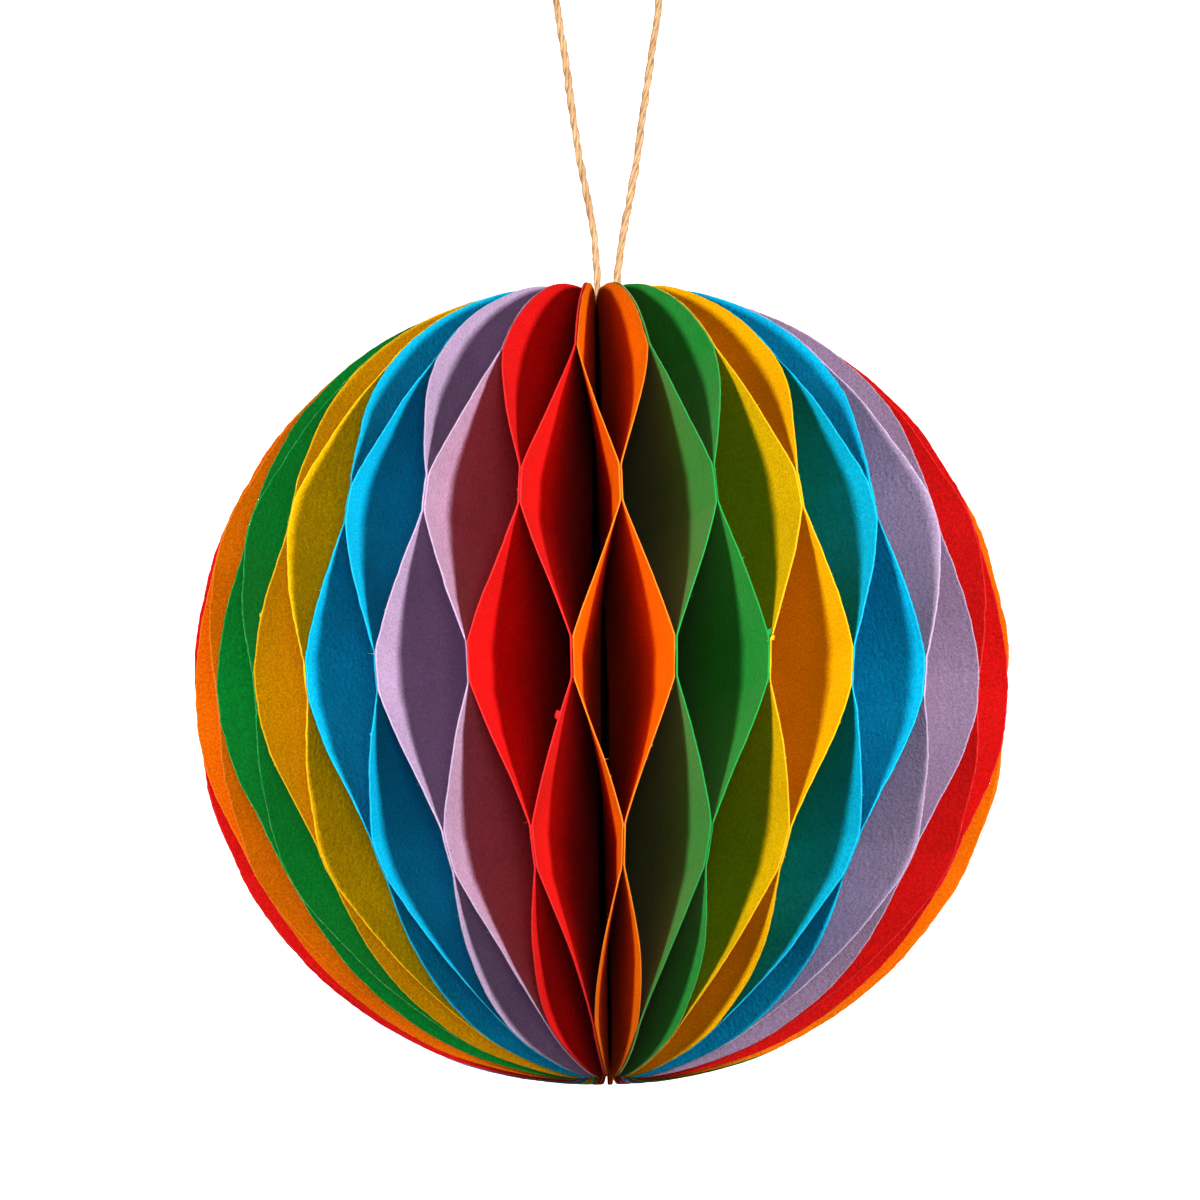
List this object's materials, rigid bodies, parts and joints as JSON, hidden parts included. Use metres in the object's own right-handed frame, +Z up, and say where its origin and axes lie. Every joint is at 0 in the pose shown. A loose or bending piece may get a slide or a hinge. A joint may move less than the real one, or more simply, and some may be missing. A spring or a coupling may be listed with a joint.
{
  "type": "paper honeycomb ball",
  "caption": "Hanging honeycomb ball of coloured half-disc paper leaves glued in turn at staggered rows round a hollow core, on a loop of natural twine.",
  "frame": {"origin": "Crown of the twine loop, on the inside of the twine where a hook bears. The ball's centre is 197 mm straight below it.", "axes": "+Z up along the ball's axis. -Y is the front, where the fold's fixed seam is, and the ball's two end leaves meet at the back, on +Y. The loop lies in the XZ plane."},
  "size_m": [0.2, 0.2008, 0.2968],
  "materials": {
    "paper_red": "matt uncoated handmade paper, dyed through, with a paler torn-looking cut edge",
    "paper_orange": "matt uncoated handmade paper, dyed through, with a paler torn-looking cut edge",
    "paper_green": "matt uncoated handmade paper, dyed through, with a paler torn-looking cut edge",
    "paper_yellow": "matt uncoated handmade paper, dyed through, with a paler torn-looking cut edge",
    "paper_blue": "matt uncoated handmade paper, dyed through, with a paler torn-looking cut edge",
    "paper_lilac": "matt uncoated handmade paper, dyed through, with a paler torn-looking cut edge",
    "twine": "natural undyed jute, loosely laid plies with loose fibres"
  },
  "bodies": {
    "hanging_loop": {"hanging_loop": "twine"},
    "twine_tail": {"twine_tail": "twine"},
    "leaf_01": {"leaf_01_red": "paper_red"},
    "leaf_02": {"leaf_02_red": "paper_red"},
    "leaf_03": {"leaf_03_orange": "paper_orange"},
    "leaf_04": {"leaf_04_orange": "paper_orange"},
    "leaf_05": {"leaf_05_green": "paper_green"},
    "leaf_06": {"leaf_06_green": "paper_green"},
    "leaf_07": {"leaf_07_yellow": "paper_yellow"},
    "leaf_08": {"leaf_08_yellow": "paper_yellow"},
    "leaf_09": {"leaf_09_blue": "paper_blue"},
    "leaf_10": {"leaf_10_blue": "paper_blue"},
    "leaf_11": {"leaf_11_lilac": "paper_lilac"},
    "leaf_12": {"leaf_12_lilac": "paper_lilac"},
    "leaf_13": {"leaf_13_red": "paper_red"},
    "leaf_14": {"leaf_14_red": "paper_red"},
    "leaf_15": {"leaf_15_orange": "paper_orange"},
    "leaf_16": {"leaf_16_orange": "paper_orange"},
    "leaf_17": {"leaf_17_green": "paper_green"},
    "leaf_18": {"leaf_18_green": "paper_green"},
    "leaf_19": {"leaf_19_yellow": "paper_yellow"},
    "leaf_20": {"leaf_20_yellow": "paper_yellow"},
    "leaf_21": {"leaf_21_blue": "paper_blue"},
    "leaf_22": {"leaf_22_blue": "paper_blue"},
    "leaf_23": {"leaf_23_lilac": "paper_lilac"},
    "leaf_24": {"leaf_24_lilac": "paper_lilac"},
    "leaf_25": {"leaf_25_red": "paper_red"},
    "leaf_26": {"leaf_26_red": "paper_red"},
    "leaf_27": {"leaf_27_orange": "paper_orange"},
    "leaf_28": {"leaf_28_orange": "paper_orange"},
    "leaf_29": {"leaf_29_green": "paper_green"},
    "leaf_30": {"leaf_30_green": "paper_green"},
    "leaf_31": {"leaf_31_yellow": "paper_yellow"},
    "leaf_32": {"leaf_32_yellow": "paper_yellow"},
    "leaf_33": {"leaf_33_blue": "paper_blue"},
    "leaf_34": {"leaf_34_blue": "paper_blue"},
    "leaf_35": {"leaf_35_lilac": "paper_lilac"},
    "leaf_36": {"leaf_36_lilac": "paper_lilac"},
    "leaf_37": {"leaf_37_red": "paper_red"},
    "leaf_38": {"leaf_38_red": "paper_red"},
    "leaf_39": {"leaf_39_orange": "paper_orange"},
    "leaf_40": {"leaf_40_orange": "paper_orange"},
    "leaf_41": {"leaf_41_green": "paper_green"},
    "leaf_42": {"leaf_42_green": "paper_green"},
    "leaf_43": {"leaf_43_yellow": "paper_yellow"},
    "leaf_44": {"leaf_44_yellow": "paper_yellow"},
    "leaf_45": {"leaf_45_blue": "paper_blue"},
    "leaf_46": {"leaf_46_blue": "paper_blue"},
    "leaf_47": {"leaf_47_lilac": "paper_lilac"},
    "leaf_48": {"leaf_48_lilac": "paper_lilac"},
    "leaf_49": {"leaf_49_red": "paper_red"},
    "leaf_50": {"leaf_50_red": "paper_red"},
    "leaf_51": {"leaf_51_orange": "paper_orange"},
    "leaf_52": {"leaf_52_orange": "paper_orange"}
  },
  "joints": [
    {"name": "loop_swing", "type": "hinge", "parent": "hanging_loop", "child": "twine_tail", "pos_m": [0, 0, -0.099], "axis": [1, 0, 0], "range_deg": [-60, 60], "deforming": ["hanging_loop"]},
    {"name": "fold_27", "type": "hinge", "parent": "twine_tail", "child": "leaf_27", "pos_m": [0.00025, -0.00413, -0.197], "axis": [0, 0, 1], "range_deg": [-6.92, 0], "deforming": ["leaf_27_orange"]},
    {"name": "fold_28", "type": "hinge", "parent": "leaf_27", "child": "leaf_28", "pos_m": [0.00075, -0.00407, -0.197], "axis": [0, 0, 1], "range_deg": [-6.92, 0], "deforming": ["leaf_28_orange"]},
    {"name": "fold_29", "type": "hinge", "parent": "leaf_28", "child": "leaf_29", "pos_m": [0.00123, -0.00395, -0.197], "axis": [0, 0, 1], "range_deg": [-6.92, 0], "deforming": ["leaf_29_green"]},
    {"name": "fold_30", "type": "hinge", "parent": "leaf_29", "child": "leaf_30", "pos_m": [0.0017, -0.00378, -0.197], "axis": [0, 0, 1], "range_deg": [-6.92, 0], "deforming": ["leaf_30_green"]},
    {"name": "fold_31", "type": "hinge", "parent": "leaf_30", "child": "leaf_31", "pos_m": [0.00214, -0.00354, -0.197], "axis": [0, 0, 1], "range_deg": [-6.92, 0], "deforming": ["leaf_31_yellow"]},
    {"name": "fold_32", "type": "hinge", "parent": "leaf_31", "child": "leaf_32", "pos_m": [0.00255, -0.00326, -0.197], "axis": [0, 0, 1], "range_deg": [-6.92, 0], "deforming": ["leaf_32_yellow"]},
    {"name": "fold_33", "type": "hinge", "parent": "leaf_32", "child": "leaf_33", "pos_m": [0.00293, -0.00293, -0.197], "axis": [0, 0, 1], "range_deg": [-6.92, 0], "deforming": ["leaf_33_blue"]},
    {"name": "fold_34", "type": "hinge", "parent": "leaf_33", "child": "leaf_34", "pos_m": [0.00326, -0.00255, -0.197], "axis": [0, 0, 1], "range_deg": [-6.92, 0], "deforming": ["leaf_34_blue"]},
    {"name": "fold_35", "type": "hinge", "parent": "leaf_34", "child": "leaf_35", "pos_m": [0.00354, -0.00214, -0.197], "axis": [0, 0, 1], "range_deg": [-6.92, 0], "deforming": ["leaf_35_lilac"]},
    {"name": "fold_36", "type": "hinge", "parent": "leaf_35", "child": "leaf_36", "pos_m": [0.00378, -0.0017, -0.197], "axis": [0, 0, 1], "range_deg": [-6.92, 0], "deforming": ["leaf_36_lilac"]},
    {"name": "fold_37", "type": "hinge", "parent": "leaf_36", "child": "leaf_37", "pos_m": [0.00395, -0.00123, -0.197], "axis": [0, 0, 1], "range_deg": [-6.92, 0], "deforming": ["leaf_37_red"]},
    {"name": "fold_38", "type": "hinge", "parent": "leaf_37", "child": "leaf_38", "pos_m": [0.00407, -0.00075, -0.197], "axis": [0, 0, 1], "range_deg": [-6.92, 0], "deforming": ["leaf_38_red"]},
    {"name": "fold_39", "type": "hinge", "parent": "leaf_38", "child": "leaf_39", "pos_m": [0.00413, -0.00025, -0.197], "axis": [0, 0, 1], "range_deg": [-6.92, 0], "deforming": ["leaf_39_orange"]},
    {"name": "fold_40", "type": "hinge", "parent": "leaf_39", "child": "leaf_40", "pos_m": [0.00413, 0.00025, -0.197], "axis": [0, 0, 1], "range_deg": [-6.92, 0], "deforming": ["leaf_40_orange"]},
    {"name": "fold_41", "type": "hinge", "parent": "leaf_40", "child": "leaf_41", "pos_m": [0.00407, 0.00075, -0.197], "axis": [0, 0, 1], "range_deg": [-6.92, 0], "deforming": ["leaf_41_green"]},
    {"name": "fold_42", "type": "hinge", "parent": "leaf_41", "child": "leaf_42", "pos_m": [0.00395, 0.00123, -0.197], "axis": [0, 0, 1], "range_deg": [-6.92, 0], "deforming": ["leaf_42_green"]},
    {"name": "fold_43", "type": "hinge", "parent": "leaf_42", "child": "leaf_43", "pos_m": [0.00378, 0.0017, -0.197], "axis": [0, 0, 1], "range_deg": [-6.92, 0], "deforming": ["leaf_43_yellow"]},
    {"name": "fold_44", "type": "hinge", "parent": "leaf_43", "child": "leaf_44", "pos_m": [0.00354, 0.00214, -0.197], "axis": [0, 0, 1], "range_deg": [-6.92, 0], "deforming": ["leaf_44_yellow"]},
    {"name": "fold_45", "type": "hinge", "parent": "leaf_44", "child": "leaf_45", "pos_m": [0.00326, 0.00255, -0.197], "axis": [0, 0, 1], "range_deg": [-6.92, 0], "deforming": ["leaf_45_blue"]},
    {"name": "fold_46", "type": "hinge", "parent": "leaf_45", "child": "leaf_46", "pos_m": [0.00293, 0.00293, -0.197], "axis": [0, 0, 1], "range_deg": [-6.92, 0], "deforming": ["leaf_46_blue"]},
    {"name": "fold_47", "type": "hinge", "parent": "leaf_46", "child": "leaf_47", "pos_m": [0.00255, 0.00326, -0.197], "axis": [0, 0, 1], "range_deg": [-6.92, 0], "deforming": ["leaf_47_lilac"]},
    {"name": "fold_48", "type": "hinge", "parent": "leaf_47", "child": "leaf_48", "pos_m": [0.00214, 0.00354, -0.197], "axis": [0, 0, 1], "range_deg": [-6.92, 0], "deforming": ["leaf_48_lilac"]},
    {"name": "fold_49", "type": "hinge", "parent": "leaf_48", "child": "leaf_49", "pos_m": [0.0017, 0.00378, -0.197], "axis": [0, 0, 1], "range_deg": [-6.92, 0], "deforming": ["leaf_49_red"]},
    {"name": "fold_50", "type": "hinge", "parent": "leaf_49", "child": "leaf_50", "pos_m": [0.00123, 0.00395, -0.197], "axis": [0, 0, 1], "range_deg": [-6.92, 0], "deforming": ["leaf_50_red"]},
    {"name": "fold_51", "type": "hinge", "parent": "leaf_50", "child": "leaf_51", "pos_m": [0.00075, 0.00407, -0.197], "axis": [0, 0, 1], "range_deg": [-6.92, 0], "deforming": ["leaf_51_orange"]},
    {"name": "fold_52", "type": "hinge", "parent": "leaf_51", "child": "leaf_52", "pos_m": [0.00025, 0.00413, -0.197], "axis": [0, 0, 1], "range_deg": [-6.92, 0], "deforming": ["leaf_52_orange"]},
    {"name": "fold_26", "type": "hinge", "parent": "twine_tail", "child": "leaf_26", "pos_m": [-0.00025, -0.00413, -0.197], "axis": [0, 0, 1], "range_deg": [0, 6.92], "deforming": ["leaf_26_red"]},
    {"name": "fold_25", "type": "hinge", "parent": "leaf_26", "child": "leaf_25", "pos_m": [-0.00075, -0.00407, -0.197], "axis": [0, 0, 1], "range_deg": [0, 6.92], "deforming": ["leaf_25_red"]},
    {"name": "fold_24", "type": "hinge", "parent": "leaf_25", "child": "leaf_24", "pos_m": [-0.00123, -0.00395, -0.197], "axis": [0, 0, 1], "range_deg": [0, 6.92], "deforming": ["leaf_24_lilac"]},
    {"name": "fold_23", "type": "hinge", "parent": "leaf_24", "child": "leaf_23", "pos_m": [-0.0017, -0.00378, -0.197], "axis": [0, 0, 1], "range_deg": [0, 6.92], "deforming": ["leaf_23_lilac"]},
    {"name": "fold_22", "type": "hinge", "parent": "leaf_23", "child": "leaf_22", "pos_m": [-0.00214, -0.00354, -0.197], "axis": [0, 0, 1], "range_deg": [0, 6.92], "deforming": ["leaf_22_blue"]},
    {"name": "fold_21", "type": "hinge", "parent": "leaf_22", "child": "leaf_21", "pos_m": [-0.00255, -0.00326, -0.197], "axis": [0, 0, 1], "range_deg": [0, 6.92], "deforming": ["leaf_21_blue"]},
    {"name": "fold_20", "type": "hinge", "parent": "leaf_21", "child": "leaf_20", "pos_m": [-0.00293, -0.00293, -0.197], "axis": [0, 0, 1], "range_deg": [0, 6.92], "deforming": ["leaf_20_yellow"]},
    {"name": "fold_19", "type": "hinge", "parent": "leaf_20", "child": "leaf_19", "pos_m": [-0.00326, -0.00255, -0.197], "axis": [0, 0, 1], "range_deg": [0, 6.92], "deforming": ["leaf_19_yellow"]},
    {"name": "fold_18", "type": "hinge", "parent": "leaf_19", "child": "leaf_18", "pos_m": [-0.00354, -0.00214, -0.197], "axis": [0, 0, 1], "range_deg": [0, 6.92], "deforming": ["leaf_18_green"]},
    {"name": "fold_17", "type": "hinge", "parent": "leaf_18", "child": "leaf_17", "pos_m": [-0.00378, -0.0017, -0.197], "axis": [0, 0, 1], "range_deg": [0, 6.92], "deforming": ["leaf_17_green"]},
    {"name": "fold_16", "type": "hinge", "parent": "leaf_17", "child": "leaf_16", "pos_m": [-0.00395, -0.00123, -0.197], "axis": [0, 0, 1], "range_deg": [0, 6.92], "deforming": ["leaf_16_orange"]},
    {"name": "fold_15", "type": "hinge", "parent": "leaf_16", "child": "leaf_15", "pos_m": [-0.00407, -0.00075, -0.197], "axis": [0, 0, 1], "range_deg": [0, 6.92], "deforming": ["leaf_15_orange"]},
    {"name": "fold_14", "type": "hinge", "parent": "leaf_15", "child": "leaf_14", "pos_m": [-0.00413, -0.00025, -0.197], "axis": [0, 0, 1], "range_deg": [0, 6.92], "deforming": ["leaf_14_red"]},
    {"name": "fold_13", "type": "hinge", "parent": "leaf_14", "child": "leaf_13", "pos_m": [-0.00413, 0.00025, -0.197], "axis": [0, 0, 1], "range_deg": [0, 6.92], "deforming": ["leaf_13_red"]},
    {"name": "fold_12", "type": "hinge", "parent": "leaf_13", "child": "leaf_12", "pos_m": [-0.00407, 0.00075, -0.197], "axis": [0, 0, 1], "range_deg": [0, 6.92], "deforming": ["leaf_12_lilac"]},
    {"name": "fold_11", "type": "hinge", "parent": "leaf_12", "child": "leaf_11", "pos_m": [-0.00395, 0.00123, -0.197], "axis": [0, 0, 1], "range_deg": [0, 6.92], "deforming": ["leaf_11_lilac"]},
    {"name": "fold_10", "type": "hinge", "parent": "leaf_11", "child": "leaf_10", "pos_m": [-0.00378, 0.0017, -0.197], "axis": [0, 0, 1], "range_deg": [0, 6.92], "deforming": ["leaf_10_blue"]},
    {"name": "fold_09", "type": "hinge", "parent": "leaf_10", "child": "leaf_09", "pos_m": [-0.00354, 0.00214, -0.197], "axis": [0, 0, 1], "range_deg": [0, 6.92], "deforming": ["leaf_09_blue"]},
    {"name": "fold_08", "type": "hinge", "parent": "leaf_09", "child": "leaf_08", "pos_m": [-0.00326, 0.00255, -0.197], "axis": [0, 0, 1], "range_deg": [0, 6.92], "deforming": ["leaf_08_yellow"]},
    {"name": "fold_07", "type": "hinge", "parent": "leaf_08", "child": "leaf_07", "pos_m": [-0.00293, 0.00293, -0.197], "axis": [0, 0, 1], "range_deg": [0, 6.92], "deforming": ["leaf_07_yellow"]},
    {"name": "fold_06", "type": "hinge", "parent": "leaf_07", "child": "leaf_06", "pos_m": [-0.00255, 0.00326, -0.197], "axis": [0, 0, 1], "range_deg": [0, 6.92], "deforming": ["leaf_06_green"]},
    {"name": "fold_05", "type": "hinge", "parent": "leaf_06", "child": "leaf_05", "pos_m": [-0.00214, 0.00354, -0.197], "axis": [0, 0, 1], "range_deg": [0, 6.92], "deforming": ["leaf_05_green"]},
    {"name": "fold_04", "type": "hinge", "parent": "leaf_05", "child": "leaf_04", "pos_m": [-0.0017, 0.00378, -0.197], "axis": [0, 0, 1], "range_deg": [0, 6.92], "deforming": ["leaf_04_orange"]},
    {"name": "fold_03", "type": "hinge", "parent": "leaf_04", "child": "leaf_03", "pos_m": [-0.00123, 0.00395, -0.197], "axis": [0, 0, 1], "range_deg": [0, 6.92], "deforming": ["leaf_03_orange"]},
    {"name": "fold_02", "type": "hinge", "parent": "leaf_03", "child": "leaf_02", "pos_m": [-0.00075, 0.00407, -0.197], "axis": [0, 0, 1], "range_deg": [0, 6.92], "deforming": ["leaf_02_red"]},
    {"name": "fold_01", "type": "hinge", "parent": "leaf_02", "child": "leaf_01", "pos_m": [-0.00025, 0.00413, -0.197], "axis": [0, 0, 1], "range_deg": [0, 6.92], "deforming": ["leaf_01_red"]}
  ],
  "couplings": [
    {"joint": "fold_28", "follows": "fold_27", "ratio": 1},
    {"joint": "fold_29", "follows": "fold_27", "ratio": 1},
    {"joint": "fold_30", "follows": "fold_27", "ratio": 1},
    {"joint": "fold_31", "follows": "fold_27", "ratio": 1},
    {"joint": "fold_32", "follows": "fold_27", "ratio": 1},
    {"joint": "fold_33", "follows": "fold_27", "ratio": 1},
    {"joint": "fold_34", "follows": "fold_27", "ratio": 1},
    {"joint": "fold_35", "follows": "fold_27", "ratio": 1},
    {"joint": "fold_36", "follows": "fold_27", "ratio": 1},
    {"joint": "fold_37", "follows": "fold_27", "ratio": 1},
    {"joint": "fold_38", "follows": "fold_27", "ratio": 1},
    {"joint": "fold_39", "follows": "fold_27", "ratio": 1},
    {"joint": "fold_40", "follows": "fold_27", "ratio": 1},
    {"joint": "fold_41", "follows": "fold_27", "ratio": 1},
    {"joint": "fold_42", "follows": "fold_27", "ratio": 1},
    {"joint": "fold_43", "follows": "fold_27", "ratio": 1},
    {"joint": "fold_44", "follows": "fold_27", "ratio": 1},
    {"joint": "fold_45", "follows": "fold_27", "ratio": 1},
    {"joint": "fold_46", "follows": "fold_27", "ratio": 1},
    {"joint": "fold_47", "follows": "fold_27", "ratio": 1},
    {"joint": "fold_48", "follows": "fold_27", "ratio": 1},
    {"joint": "fold_49", "follows": "fold_27", "ratio": 1},
    {"joint": "fold_50", "follows": "fold_27", "ratio": 1},
    {"joint": "fold_51", "follows": "fold_27", "ratio": 1},
    {"joint": "fold_52", "follows": "fold_27", "ratio": 1},
    {"joint": "fold_26", "follows": "fold_27", "ratio": -1},
    {"joint": "fold_25", "follows": "fold_27", "ratio": -1},
    {"joint": "fold_24", "follows": "fold_27", "ratio": -1},
    {"joint": "fold_23", "follows": "fold_27", "ratio": -1},
    {"joint": "fold_22", "follows": "fold_27", "ratio": -1},
    {"joint": "fold_21", "follows": "fold_27", "ratio": -1},
    {"joint": "fold_20", "follows": "fold_27", "ratio": -1},
    {"joint": "fold_19", "follows": "fold_27", "ratio": -1},
    {"joint": "fold_18", "follows": "fold_27", "ratio": -1},
    {"joint": "fold_17", "follows": "fold_27", "ratio": -1},
    {"joint": "fold_16", "follows": "fold_27", "ratio": -1},
    {"joint": "fold_15", "follows": "fold_27", "ratio": -1},
    {"joint": "fold_14", "follows": "fold_27", "ratio": -1},
    {"joint": "fold_13", "follows": "fold_27", "ratio": -1},
    {"joint": "fold_12", "follows": "fold_27", "ratio": -1},
    {"joint": "fold_11", "follows": "fold_27", "ratio": -1},
    {"joint": "fold_10", "follows": "fold_27", "ratio": -1},
    {"joint": "fold_09", "follows": "fold_27", "ratio": -1},
    {"joint": "fold_08", "follows": "fold_27", "ratio": -1},
    {"joint": "fold_07", "follows": "fold_27", "ratio": -1},
    {"joint": "fold_06", "follows": "fold_27", "ratio": -1},
    {"joint": "fold_05", "follows": "fold_27", "ratio": -1},
    {"joint": "fold_04", "follows": "fold_27", "ratio": -1},
    {"joint": "fold_03", "follows": "fold_27", "ratio": -1},
    {"joint": "fold_02", "follows": "fold_27", "ratio": -1},
    {"joint": "fold_01", "follows": "fold_27", "ratio": -1}
  ]
}
